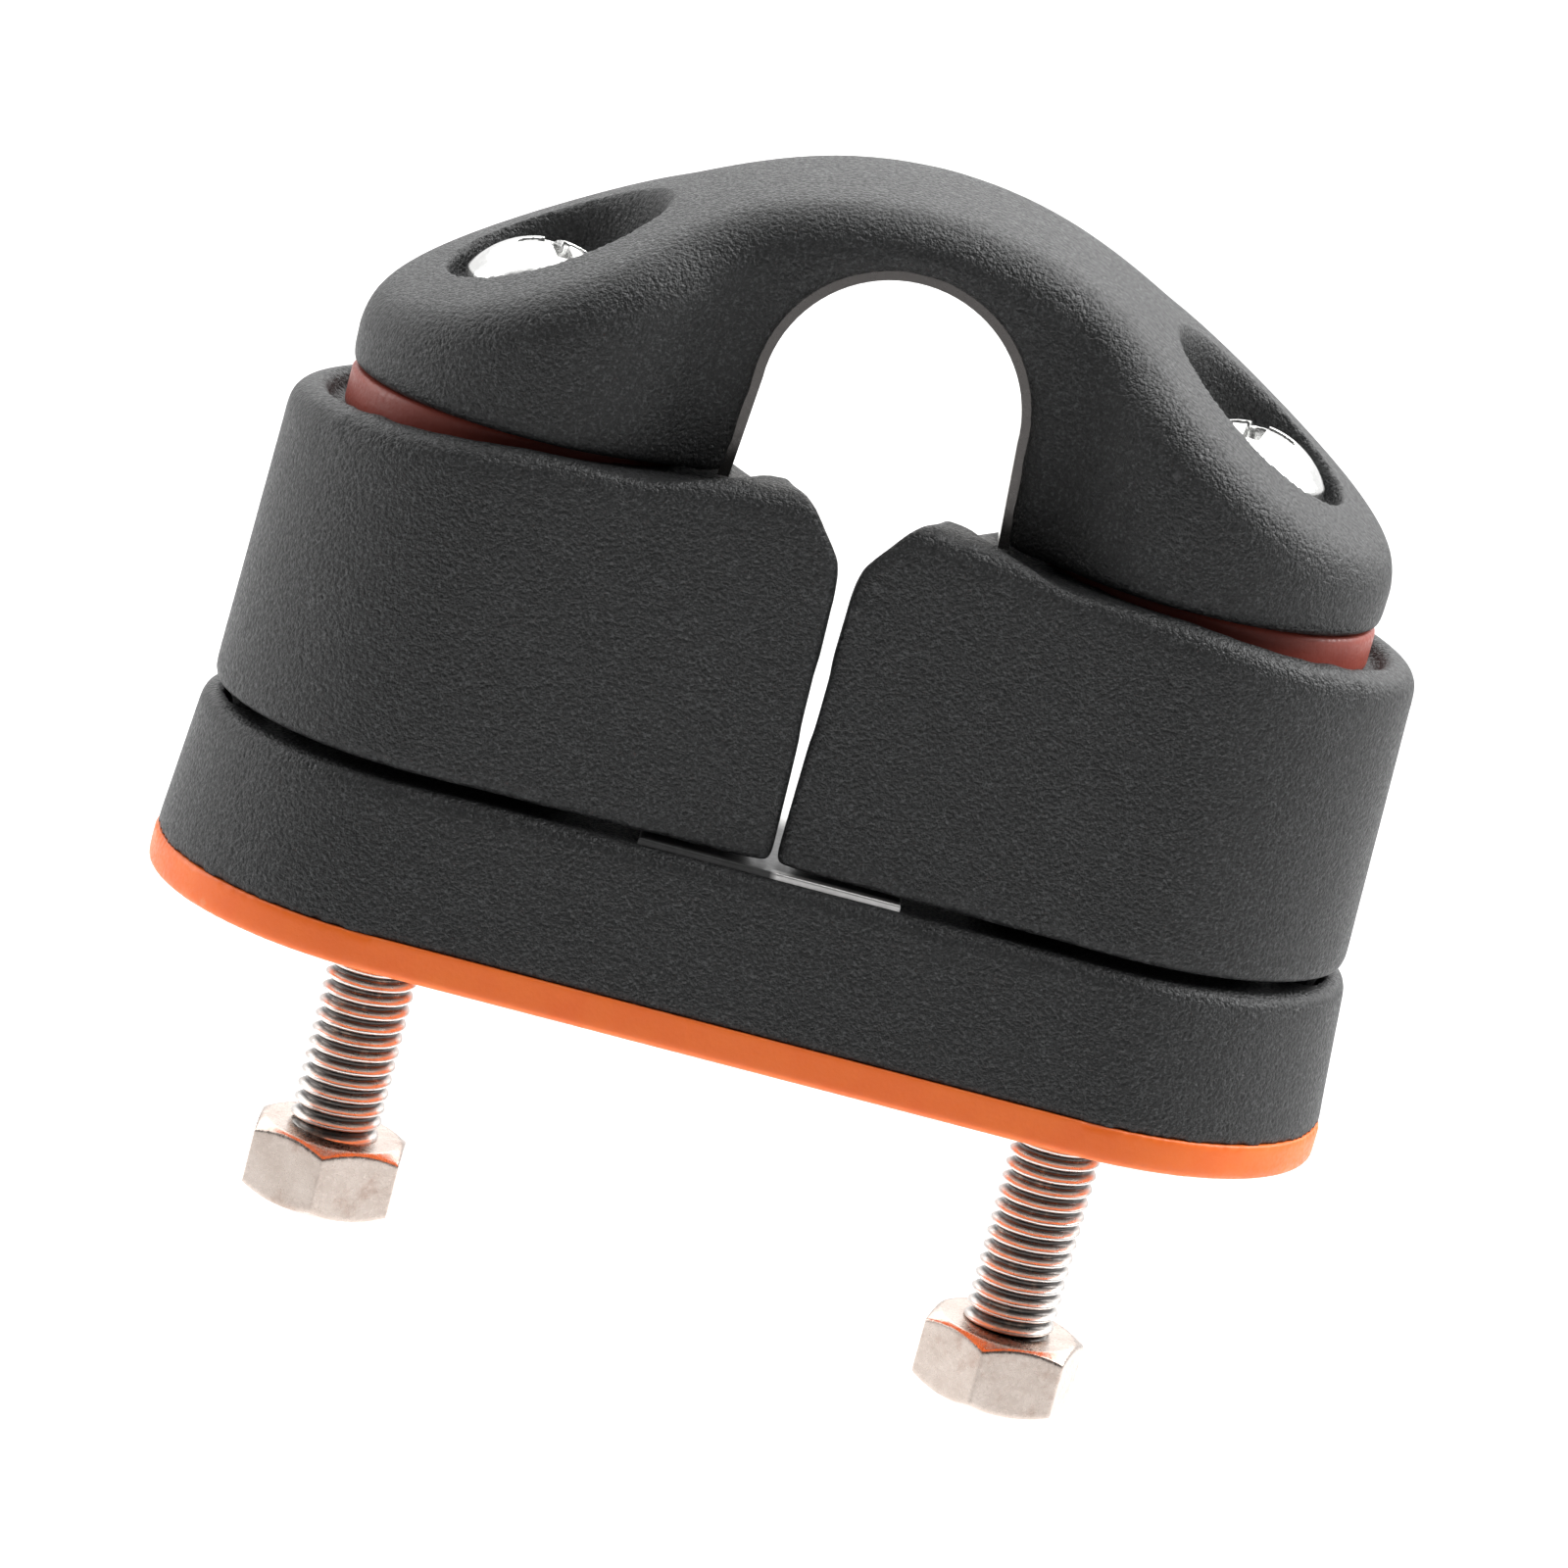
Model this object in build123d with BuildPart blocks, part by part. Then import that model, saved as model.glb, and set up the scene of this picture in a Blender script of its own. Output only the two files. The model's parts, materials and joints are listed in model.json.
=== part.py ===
from build123d import *
from math import acos, atan2, cos, degrees, hypot, radians, sin, sqrt, tan
import os

# Cam cleat with an over-top fairlead, in millimetres.
# X runs along the two fasteners, -Y faces the sailor who pulls the tail, +Y faces the load, +Z is up.
# The origin is the middle of the mounting face, under the pad.
os.makedirs("parts", exist_ok=True)

LEFT, RIGHT = -1, 1

# Fasteners: M5, on the usual 38 mm centres
BOLT_SPACING = 38.0
PIVOT_X = BOLT_SPACING / 2
BORE_R = 2.75
THREAD_R = 2.475
THREAD_PITCH_R = 2.24
SCREW_END_CHAMFER = 0.5
HEAD_R = 4.25
HEAD_HEIGHT = 3.7
HEAD_SIDE = 1.3
HEAD_ARC_R = 2.7
HEAD_ARC_HEIGHT = 2.95
RECESS_WIDTH = 1.1
RECESS_LENGTH = 4.4
RECESS_DEPTH = 1.8
RECESS_LEAD = 0.3
RECESS_TAPER = 8.0
RECESS_TURN = {LEFT: 20.0, RIGHT: -10.0}
NUT_ACROSS_FLATS = 8.0
NUT_HEIGHT = 4.0
NUT_FACE_R = 3.8
NUT_CONE_R = 5.0
NUT_CONE_DROP = 0.7
NUT_TOP_Z = {LEFT: -12.5, RIGHT: -13.7}
NUT_TURN = {LEFT: 30.0, RIGHT: 15.0}

# Mounting pad
PAD_THICK = 2.0
PAD_END_R = 13.2
PAD_EDGE_R = 0.4

# Base
BASE_END_R = 13.1
BASE_TOP_Z = 10.0
BASE_DRAFT = 5.0
BASE_EDGE_R = 0.8
POCKET_FLOOR_Z = 6.4
POCKET_INNER_R = 5.6
POCKET_R = 8.3
STOP_R = 10.2
STOP_SLOT_WIDTH = 2.2
STOP_SLOT_FLOOR_Z = 8.2
STOP_REST_ANGLE = 200.0
CAM_TRAVEL = 40.0

# Wear plate on the land between the cams
PLATE_THICK = 0.35
PLATE_WIDTH = 14.0
PLATE_DEPTH = 23.4
TAB_WIDTH = 6.0
TAB_THICK = 0.6
TAB_LENGTH = 3.0
TAB_Y = 9.5
TAB_CLEARANCE = 0.1

# Bearing: inner sleeve, two rows of balls, retaining cap
SLEEVE_BORE_R = 2.65
SLEEVE_FOOT_R = 5.3
SHOULDER_R = 6.6
TRACK_R = 4.35
BALL_R = 1.25
BALL_CLEARANCE = 0.03
BALL_COUNT = 13
BALL_PITCH_R = TRACK_R + BALL_R + BALL_CLEARANCE
LOWER_ROW_Z = 15.95
UPPER_ROW_Z = 23.15
TRACK_HALF = BALL_R + 0.1
SLEEVE_TOP_Z = 25.5
CAP_BOTTOM_Z = UPPER_ROW_Z + TRACK_HALF
CAP_FLANGE_Z = 26.45
CAP_FLANGE_R = 8.85
CAP_EDGE_R = 0.3

# Cams
CAM_BOTTOM_Z = 10.55
CAM_TOP_Z = 28.3
CAM_TOP_SLOPE = 5.9
CAM_SWEPT_Z = 28.4
CAM_DRAFT = 1.5
CAM_BLANK_HEIGHT = 21.0
CAM_ROUND_R = 12.1
CAM_TIP = (18.97, -11.35)
CAM_JAW_MIDDLE = (16.0, 0.4)
CAM_JAW_END_ANGLE = 36.0
CAM_TIP_R = 0.4
CAM_HEEL_R = 2.5
CAM_EDGE_R = 1.2
CAM_BORE_R = BALL_PITCH_R + BALL_R + BALL_CLEARANCE
CAM_POCKET_Z = 13.2
DISH_FLOOR_Z = 26.2
DISH_R = 9.7
SWEPT_R = 13.3
SWEPT_RAMP_R = 16.4
SWEPT_RAMP_Z = 30.2
LEAD_IN_POINT = (-2.55, -11.35, 30.0)
LEAD_IN_NORMAL = (0.743, 0.359, 0.563)
STOP_PEG_R = 1.0
STOP_PEG_BOTTOM_Z = 8.6
TOOTH_COUNT = 12
TOOTH_FIRST = 1.8
TOOTH_PITCH = 1.5
TOOTH_WIDTH = 1.3
TOOTH_DEPTH = 0.7
TOOTH_LEAN = -0.3

# Return springs
WIRE_R = 0.45
COIL_R = 7.5
COIL_TURNS = 5.4
COIL_PITCH = 0.95
COIL_BOTTOM_Z = POCKET_FLOOR_Z + 0.15 + WIRE_R
LEG_HOLE_R = 0.55
LEG_LENGTH = 1.7
LEG_ANGLE_BASE = 0.0
LEG_ANGLE_CAM = 360 * (COIL_TURNS % 1)

# Fairlead: its roof falls to both sides of the crest and toward the front
FOOT_Z = 28.7
FOOT_R = 10.4
FOOT_X = 17.6
CREST_Z = 45.5
CREST_R = 23.6
SLOPE = 30.7
ROOF_TILT = 7.0
CROWN_R = 60.0
ROOF_HALF_DEPTH = 12.0
ROOF_THICK = 16.0
ROOF_RUN = 24.0
ROOF_MARGIN = 3.0
ARCH_HALF_DEPTH = 6.5
WAIST_R = 5.0
FAIRLEAD_EDGE_R = 2.8
SEAT_Z = 33.8
COUNTERBORE_R = 5.1

# Rope eye and its liner: the legs spread a little below the arch, and the mouths flare
EYE_HALF = 6.8
EYE_ARC_Z = 34.25
EYE_SPREAD = 2.6
LINER_THICK = 0.6
LINER_HALF_DEPTH = 5.7
LINER_EDGE_SHOWN = 0.2
MOUTH_HALF_DEPTH = 8.0


def pivot_axis(side):
    """The upright axis of the fastener and the cam on one side."""
    return Axis((side * PIVOT_X, 0, 0), (0, 0, 1))


def pivot_section(side):
    """The upright plane through a pivot: local x is the radius and local y the height."""
    return Plane(origin=(side * PIVOT_X, 0, 0), x_dir=(1, 0, 0), z_dir=(0, -1, 0))


def about_pivot(side, radius, angle):
    """A plan point at a radius and angle from a pivot, with angles mirrored on the right."""
    return (side * (PIVOT_X - radius * cos(radians(angle))), radius * sin(radians(angle)))


def stop_path(side):
    """The arc that a cam's stop peg travels along, from rest to fully open."""
    return ThreePointArc(
        about_pivot(side, STOP_R, STOP_REST_ANGLE),
        about_pivot(side, STOP_R, STOP_REST_ANGLE - CAM_TRAVEL / 2),
        about_pivot(side, STOP_R, STOP_REST_ANGLE - CAM_TRAVEL),
        mode=Mode.PRIVATE,
    )


def export(builder, name):
    """Label a finished piece and write it as its own file."""
    builder.part.label = name
    export_step(builder.part, f"parts/{name}.step")


# Mounting pad
with BuildPart() as mounting_pad:
    with BuildSketch():
        SlotCenterToCenter(BOLT_SPACING, 2 * PAD_END_R)
        with GridLocations(BOLT_SPACING, 0, 2, 1):
            Circle(BORE_R, mode=Mode.SUBTRACT)
    extrude(amount=PAD_THICK)
    rim = mounting_pad.faces().sort_by(Axis.Z)[0].outer_wire().edges()
    fillet(rim, PAD_EDGE_R)
export(mounting_pad, "mounting_pad")

# Base: a drafted oval with a spring pocket, a leg hole and a stop slot for each cam
with BuildPart() as base:
    with BuildSketch(Plane.XY.offset(PAD_THICK)):
        SlotCenterToCenter(BOLT_SPACING, 2 * BASE_END_R)
    extrude(amount=BASE_TOP_Z - PAD_THICK, taper=BASE_DRAFT)
    fillet(base.faces().sort_by(Axis.Z)[-1].outer_wire().edges(), BASE_EDGE_R)
    with BuildSketch(Plane.XY.offset(POCKET_FLOOR_Z)):
        with GridLocations(BOLT_SPACING, 0, 2, 1):
            Circle(POCKET_R)
            Circle(POCKET_INNER_R, mode=Mode.SUBTRACT)
    extrude(amount=BASE_TOP_Z - POCKET_FLOOR_Z, mode=Mode.SUBTRACT)
    with BuildSketch(Plane.XY.offset(POCKET_FLOOR_Z - LEG_LENGTH)):
        for side in (LEFT, RIGHT):
            with Locations(about_pivot(side, COIL_R, LEG_ANGLE_BASE)):
                Circle(LEG_HOLE_R)
    extrude(amount=LEG_LENGTH, mode=Mode.SUBTRACT)
    with BuildSketch(Plane.XY.offset(STOP_SLOT_FLOOR_Z)):
        for side in (LEFT, RIGHT):
            SlotArc(stop_path(side), STOP_SLOT_WIDTH)
    extrude(amount=BASE_TOP_Z - STOP_SLOT_FLOOR_Z, mode=Mode.SUBTRACT)
    with BuildSketch(Plane.XY.offset(BASE_TOP_Z)):
        with GridLocations(0, 2 * TAB_Y, 1, 2):
            Rectangle(TAB_WIDTH + 2 * TAB_CLEARANCE, TAB_THICK + 2 * TAB_CLEARANCE)
    extrude(amount=-(TAB_LENGTH + TAB_CLEARANCE), mode=Mode.SUBTRACT)
    with GridLocations(BOLT_SPACING, 0, 2, 1):
        Hole(BORE_R)
export(base, "base")

# Wear plate: a thin strip with two tabs turned down into the base
with BuildPart() as wear_plate:
    with BuildSketch(Plane.XY.offset(BASE_TOP_Z)):
        Rectangle(PLATE_WIDTH, PLATE_DEPTH)
    extrude(amount=PLATE_THICK)
    with BuildSketch(Plane.XY.offset(BASE_TOP_Z)):
        with GridLocations(0, 2 * TAB_Y, 1, 2):
            Rectangle(TAB_WIDTH, TAB_THICK)
    extrude(amount=-TAB_LENGTH)
    fillet(wear_plate.edges().group_by(Axis.Z)[-1], PLATE_THICK / 3)
export(wear_plate, "wear_plate")


def race_sleeve(side):
    """Inner race: a foot, a shoulder under each row of balls, and a spigot for the cap."""
    with BuildPart() as sleeve:
        with BuildSketch(pivot_section(side)):
            with BuildLine():
                Polyline(
                    (SLEEVE_BORE_R, BASE_TOP_Z),
                    (SLEEVE_FOOT_R, BASE_TOP_Z),
                    (SLEEVE_FOOT_R, CAM_POCKET_Z + 0.3),
                    (SHOULDER_R, CAM_POCKET_Z + 0.3),
                    (SHOULDER_R, LOWER_ROW_Z - TRACK_HALF),
                    (TRACK_R, LOWER_ROW_Z - TRACK_HALF),
                    (TRACK_R, LOWER_ROW_Z + TRACK_HALF),
                    (SHOULDER_R, LOWER_ROW_Z + TRACK_HALF),
                    (SHOULDER_R, UPPER_ROW_Z - TRACK_HALF),
                    (TRACK_R, UPPER_ROW_Z - TRACK_HALF),
                    (TRACK_R, SLEEVE_TOP_Z),
                    (SLEEVE_BORE_R, SLEEVE_TOP_Z),
                    close=True,
                )
            make_face()
        revolve(axis=pivot_axis(side))
    return sleeve


def retainer_cap(side):
    """Cap that closes the upper row of balls, with the flange that the fairlead's foot stands on."""
    with BuildPart() as cap:
        with BuildSketch(pivot_section(side)):
            with BuildLine():
                Polyline(
                    (TRACK_R, CAP_BOTTOM_Z),
                    (SHOULDER_R, CAP_BOTTOM_Z),
                    (SHOULDER_R, CAP_FLANGE_Z),
                    (CAP_FLANGE_R, CAP_FLANGE_Z),
                    (CAP_FLANGE_R, FOOT_Z),
                    (SLEEVE_BORE_R, FOOT_Z),
                    (SLEEVE_BORE_R, SLEEVE_TOP_Z),
                    (TRACK_R, SLEEVE_TOP_Z),
                    close=True,
                )
            make_face()
        revolve(axis=pivot_axis(side))
        fillet(cap.edges().filter_by(GeomType.CIRCLE).group_by(SortBy.RADIUS)[-1], CAP_EDGE_R)
    return cap


def ball_row(side, height):
    """One full row of loose bearing balls."""
    with BuildPart() as row:
        with Locations((side * PIVOT_X, 0, height)):
            with PolarLocations(BALL_PITCH_R, BALL_COUNT):
                Sphere(BALL_R)
    return row


for side, name in ((LEFT, "left"), (RIGHT, "right")):
    export(race_sleeve(side), f"{name}_race_sleeve")
    export(retainer_cap(side), f"{name}_retainer_cap")
    export(ball_row(side, LOWER_ROW_Z), f"{name}_lower_balls")
    export(ball_row(side, UPPER_ROW_Z), f"{name}_upper_balls")


# Return springs: a close torsion coil, a leg down into the base and a leg up into the cam
with BuildPart() as left_return_spring:
    with BuildLine(Plane((LEFT * PIVOT_X, 0, COIL_BOTTOM_Z))) as coil:
        Helix(COIL_PITCH, COIL_TURNS * COIL_PITCH, COIL_R)
    wire_path = coil.wires()[0]
    with BuildSketch(Plane(origin=wire_path @ 0, z_dir=wire_path % 0)):
        Circle(WIRE_R)
    sweep(path=wire_path, is_frenet=True)
    for end, reach in ((wire_path @ 0, -LEG_LENGTH), (wire_path @ 1, LEG_LENGTH)):
        with Locations(end):
            Sphere(WIRE_R)
        with BuildSketch(Plane.XY.offset(end.Z)):
            with Locations((end.X, end.Y)):
                Circle(WIRE_R)
        extrude(amount=reach)
export(left_return_spring, "left_return_spring")

with BuildPart() as right_return_spring:
    mirror(left_return_spring.part, about=Plane.YZ)
export(right_return_spring, "right_return_spring")


def cam_point(point):
    """A point of the left cam's outline, given from its pivot, in the part's own frame."""
    return (point[0] - PIVOT_X, point[1])


def tooth_plane(place, tangent):
    """A plane square to one tooth groove, which leans with the drafted jaw."""
    outward = Vector(tangent.Y, -tangent.X, 0)
    lean = Vector(0, 0, 1) - outward * sin(radians(CAM_DRAFT))
    return Plane(origin=place, x_dir=tangent, z_dir=lean)


# Left cam: a drafted outline with a round heel and a spiral jaw. Its top rises toward the jaw, and is
# cut flat where it passes under the fairlead's foot and dished round its pivot
top_slope = radians(CAM_TOP_SLOPE)
cam_top = Plane((LEFT * PIVOT_X, 0, CAM_TOP_Z), z_dir=(-sin(top_slope), 0, cos(top_slope)))
tip_angle = degrees(atan2(CAM_TIP[1], CAM_TIP[0]))
wall_angle = tip_angle - degrees(acos(CAM_ROUND_R / hypot(*CAM_TIP)))
jaw_end = (
    CAM_ROUND_R * cos(radians(CAM_JAW_END_ANGLE)),
    CAM_ROUND_R * sin(radians(CAM_JAW_END_ANGLE)),
)
with BuildPart() as left_cam:
    with BuildSketch(Plane.XY.offset(CAM_BOTTOM_Z)) as outline:
        with BuildLine():
            heel = CenterArc(
                cam_point((0, 0)),
                CAM_ROUND_R,
                CAM_JAW_END_ANGLE,
                360 + wall_angle - CAM_JAW_END_ANGLE,
            )
            Line(heel @ 1, cam_point(CAM_TIP))
            jaw = ThreePointArc(
                cam_point(CAM_TIP), cam_point(CAM_JAW_MIDDLE), cam_point(jaw_end)
            )
        make_face()
        fillet(outline.vertices().sort_by_distance(cam_point(CAM_TIP))[0], CAM_TIP_R)
        fillet(outline.vertices().sort_by_distance(cam_point(jaw_end))[0], CAM_HEEL_R)
    extrude(amount=CAM_BLANK_HEIGHT, taper=CAM_DRAFT)
    split(bisect_by=cam_top, keep=Keep.BOTTOM)
    crest = left_cam.faces().sort_by(Axis.Z)[-1].outer_wire().edges()
    fillet([crest.sort_by(Axis.X)[0], crest.sort_by(Axis.Y)[0]], CAM_EDGE_R)
    split(bisect_by=Plane(LEAD_IN_POINT, z_dir=LEAD_IN_NORMAL), keep=Keep.BOTTOM)
    with BuildSketch(pivot_section(LEFT)):
        with BuildLine():
            Polyline(
                (0, CAM_SWEPT_Z),
                (SWEPT_R, CAM_SWEPT_Z),
                (SWEPT_RAMP_R, SWEPT_RAMP_Z),
                (SWEPT_RAMP_R, CAM_BOTTOM_Z + CAM_BLANK_HEIGHT),
                (0, CAM_BOTTOM_Z + CAM_BLANK_HEIGHT),
                close=True,
            )
        make_face()
    revolve(axis=pivot_axis(LEFT), mode=Mode.SUBTRACT)
    with BuildSketch(pivot_section(LEFT)):
        with BuildLine():
            Polyline(
                (0, CAM_BOTTOM_Z),
                (POCKET_R, CAM_BOTTOM_Z),
                (POCKET_R, CAM_POCKET_Z),
                (CAM_BORE_R, CAM_POCKET_Z),
                (CAM_BORE_R, DISH_FLOOR_Z),
                (DISH_R, DISH_FLOOR_Z),
                (DISH_R, CAM_SWEPT_Z),
                (0, CAM_SWEPT_Z),
                close=True,
            )
        make_face()
    revolve(axis=pivot_axis(LEFT), mode=Mode.SUBTRACT)
    with BuildSketch(Plane.XY.offset(CAM_POCKET_Z)):
        with Locations(about_pivot(LEFT, COIL_R, LEG_ANGLE_CAM)):
            Circle(LEG_HOLE_R)
    extrude(amount=LEG_LENGTH, mode=Mode.SUBTRACT)
    for tooth in range(TOOTH_COUNT):
        share = (TOOTH_FIRST + tooth * TOOTH_PITCH) / jaw.length
        with BuildSketch(tooth_plane(jaw @ share, jaw % share)):
            with BuildLine():
                Polyline(
                    (-TOOTH_PITCH / 2, TOOTH_DEPTH),
                    (-TOOTH_WIDTH / 2, 0),
                    (TOOTH_LEAN, -TOOTH_DEPTH),
                    (TOOTH_WIDTH / 2, 0),
                    (TOOTH_PITCH / 2, TOOTH_DEPTH),
                    close=True,
                )
            make_face()
        extrude(amount=CAM_BLANK_HEIGHT, mode=Mode.SUBTRACT)
    with BuildSketch(Plane.XY.offset(STOP_PEG_BOTTOM_Z)):
        with Locations(about_pivot(LEFT, STOP_R, STOP_REST_ANGLE)):
            Circle(STOP_PEG_R)
    extrude(until=Until.NEXT)
export(left_cam, "left_cam")

# Right cam: the same casting, handed
with BuildPart() as right_cam:
    mirror(left_cam.part, about=Plane.YZ)
export(right_cam, "right_cam")

def arch(half_width):
    """The outline of the eye at one half width: a round arch on slightly spreading legs."""
    spread = half_width + EYE_SPREAD
    with BuildSketch() as outline:
        with BuildLine():
            Polyline((-half_width, EYE_ARC_Z), (-spread, 0), (spread, 0), (half_width, EYE_ARC_Z))
            RadiusArc((half_width, EYE_ARC_Z), (-half_width, EYE_ARC_Z), -half_width)
        make_face()
    return outline.sketch_local


# Fairlead: two round feet joined by an arch over a rope eye
turn_x = CREST_R * sin(radians(SLOPE))
turn_z = CREST_Z - CREST_R * (1 - cos(radians(SLOPE)))
end_x = turn_x + ROOF_RUN * cos(radians(SLOPE))
end_z = turn_z - ROOF_RUN * sin(radians(SLOPE))
crown_drop = CROWN_R - sqrt(CROWN_R**2 - ROOF_HALF_DEPTH**2)
tilt_rise = ROOF_HALF_DEPTH * tan(radians(ROOF_TILT))
with BuildPart() as fairlead:
    with BuildSketch(Plane.XY.offset(FOOT_Z)) as plan:
        with GridLocations(2 * FOOT_X, 0, 2, 1):
            Circle(FOOT_R)
        Rectangle(2 * FOOT_X, 2 * ARCH_HALF_DEPTH)
        waist = plan.vertices().filter_by_position(Axis.X, -FOOT_X + 1, FOOT_X - 1)
        fillet(waist, WAIST_R)
    extrude(amount=CREST_Z + ROOF_MARGIN - FOOT_Z)
    with BuildLine(Plane.XZ) as ridge:
        Line((-end_x, end_z), (-turn_x, turn_z))
        ThreePointArc((-turn_x, turn_z), (0, CREST_Z), (turn_x, turn_z))
        Line((turn_x, turn_z), (end_x, end_z))
    ridge_path = ridge.wires()[0]
    with BuildSketch(Plane(origin=ridge_path @ 0, x_dir=(0, 1, 0), z_dir=ridge_path % 0)):
        with BuildLine():
            front = (-ROOF_HALF_DEPTH, -tilt_rise - crown_drop)
            back = (ROOF_HALF_DEPTH, tilt_rise - crown_drop)
            ThreePointArc(front, (0, 0), back)
            Polyline(
                back, (ROOF_HALF_DEPTH, ROOF_THICK), (-ROOF_HALF_DEPTH, ROOF_THICK), front
            )
        make_face()
    sweep(path=ridge_path, mode=Mode.SUBTRACT)
    walls = fairlead.edges().filter_by_position(Axis.Z, FOOT_Z, FOOT_Z)
    uprights = fairlead.edges().filter_by(Axis.Z)
    joints = fairlead.edges().filter_by(GeomType.CIRCLE)
    fillet(fairlead.edges() - walls - uprights - joints, FAIRLEAD_EDGE_R)
    with BuildSketch(Plane.XZ):
        add(arch(EYE_HALF))
    extrude(amount=2 * FOOT_R, both=True, mode=Mode.SUBTRACT)
    with BuildSketch(Plane.XZ):
        add(arch(EYE_HALF + LINER_THICK))
    extrude(amount=LINER_HALF_DEPTH, both=True, mode=Mode.SUBTRACT)
    mouth_growth = MOUTH_HALF_DEPTH - LINER_HALF_DEPTH
    for face in (-1, 1):
        with BuildSketch(Plane.XZ.offset(face * LINER_HALF_DEPTH)):
            add(arch(EYE_HALF + LINER_EDGE_SHOWN))
        with BuildSketch(Plane.XZ.offset(face * MOUTH_HALF_DEPTH)):
            add(arch(EYE_HALF + LINER_EDGE_SHOWN + mouth_growth))
        loft(mode=Mode.SUBTRACT)
    with BuildSketch(Plane.XY.offset(SEAT_Z)):
        with GridLocations(BOLT_SPACING, 0, 2, 1):
            Circle(COUNTERBORE_R)
    extrude(amount=CREST_Z, mode=Mode.SUBTRACT)
    with GridLocations(BOLT_SPACING, 0, 2, 1):
        Hole(BORE_R)
export(fairlead, "fairlead")

# Fairlead liner: a thin stainless arch lining the eye
with BuildPart() as fairlead_liner:
    with BuildSketch(Plane.XZ):
        add(arch(EYE_HALF + LINER_THICK))
        add(arch(EYE_HALF), mode=Mode.SUBTRACT)
        with Locations((0, FOOT_Z / 2)):
            Rectangle(4 * EYE_HALF, FOOT_Z, mode=Mode.SUBTRACT)
    extrude(amount=LINER_HALF_DEPTH, both=True)
export(fairlead_liner, "fairlead_liner")


def screw(side):
    """Pan head machine screw with a cross recess, a shank at pitch diameter and a long thread."""
    nut_top = NUT_TOP_Z[side]
    nut_bottom = nut_top - NUT_HEIGHT
    head_top = SEAT_Z + HEAD_HEIGHT
    with BuildPart() as piece:
        with BuildSketch(pivot_section(side)):
            with BuildLine():
                Polyline(
                    (0, head_top),
                    (0, nut_bottom),
                    (THREAD_PITCH_R - SCREW_END_CHAMFER, nut_bottom),
                    (THREAD_PITCH_R, nut_bottom + SCREW_END_CHAMFER),
                    (THREAD_PITCH_R, nut_top),
                    (THREAD_R, nut_top),
                    (THREAD_R, 0),
                    (THREAD_PITCH_R, 0),
                    (THREAD_PITCH_R, SEAT_Z),
                    (HEAD_R, SEAT_Z),
                    (HEAD_R, SEAT_Z + HEAD_SIDE),
                )
                ThreePointArc(
                    (HEAD_R, SEAT_Z + HEAD_SIDE),
                    (HEAD_ARC_R, SEAT_Z + HEAD_ARC_HEIGHT),
                    (0, head_top),
                )
            make_face()
        revolve(axis=pivot_axis(side))
        with BuildSketch(Plane.XY.offset(head_top + RECESS_LEAD)):
            with Locations(Location((side * PIVOT_X, 0), RECESS_TURN[side])):
                Rectangle(RECESS_LENGTH, RECESS_WIDTH)
                Rectangle(RECESS_WIDTH, RECESS_LENGTH)
        extrude(amount=-RECESS_LEAD - RECESS_DEPTH, taper=RECESS_TAPER, mode=Mode.SUBTRACT)
    return piece


def nut(side):
    """Hexagon nut with a chamfered crown on both faces."""
    with BuildPart() as piece:
        with BuildSketch(Plane.XY.offset(NUT_TOP_Z[side])):
            with Locations(Location((side * PIVOT_X, 0), NUT_TURN[side])):
                RegularPolygon(NUT_ACROSS_FLATS / 2, 6, major_radius=False)
        extrude(amount=-NUT_HEIGHT)
        with BuildSketch(pivot_section(side)):
            with BuildLine():
                Polyline(
                    (0, NUT_TOP_Z[side]),
                    (NUT_FACE_R, NUT_TOP_Z[side]),
                    (NUT_CONE_R, NUT_TOP_Z[side] - NUT_CONE_DROP),
                    (NUT_CONE_R, NUT_TOP_Z[side] - NUT_HEIGHT + NUT_CONE_DROP),
                    (NUT_FACE_R, NUT_TOP_Z[side] - NUT_HEIGHT),
                    (0, NUT_TOP_Z[side] - NUT_HEIGHT),
                    close=True,
                )
            make_face()
        revolve(axis=pivot_axis(side), mode=Mode.INTERSECT)
        with Locations((side * PIVOT_X, 0, NUT_TOP_Z[side])):
            Hole(THREAD_PITCH_R)
    return piece


for side, name in ((LEFT, "left"), (RIGHT, "right")):
    export(screw(side), f"{name}_screw")
    export(nut(side), f"{name}_nut")
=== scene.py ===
"""Looks for the cam cleat: materials, finer meshes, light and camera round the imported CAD."""
import json
import math

import bmesh
import bpy
import numpy as np
from mathutils import Matrix, Vector


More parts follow.
